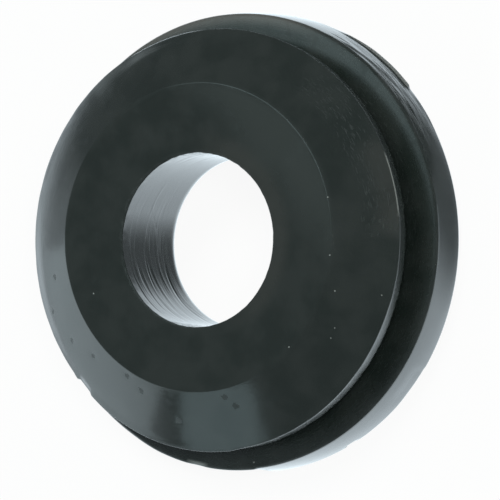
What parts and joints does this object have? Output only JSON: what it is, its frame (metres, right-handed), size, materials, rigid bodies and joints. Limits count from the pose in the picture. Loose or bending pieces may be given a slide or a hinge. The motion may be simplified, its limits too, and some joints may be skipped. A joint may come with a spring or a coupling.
{
  "type": "rubber grommet",
  "caption": "Round black rubber push-in grommet: a plain bore for a cable, a groove that grips a thin panel, a wide rear flange and a tapered front flange.",
  "frame": {"origin": "on the bore axis, in the plane of the flat rear face that it lies on", "axes": "+Z along the bore axis, from the wide rear flange to the tapered front flange; X and Y across it, any way round"},
  "size_m": [0.0254, 0.0254, 0.0065],
  "materials": {
    "rubber": "satin moulded black rubber"
  },
  "bodies": {
    "root": {"grommet": "rubber"}
  },
  "joints": []
}
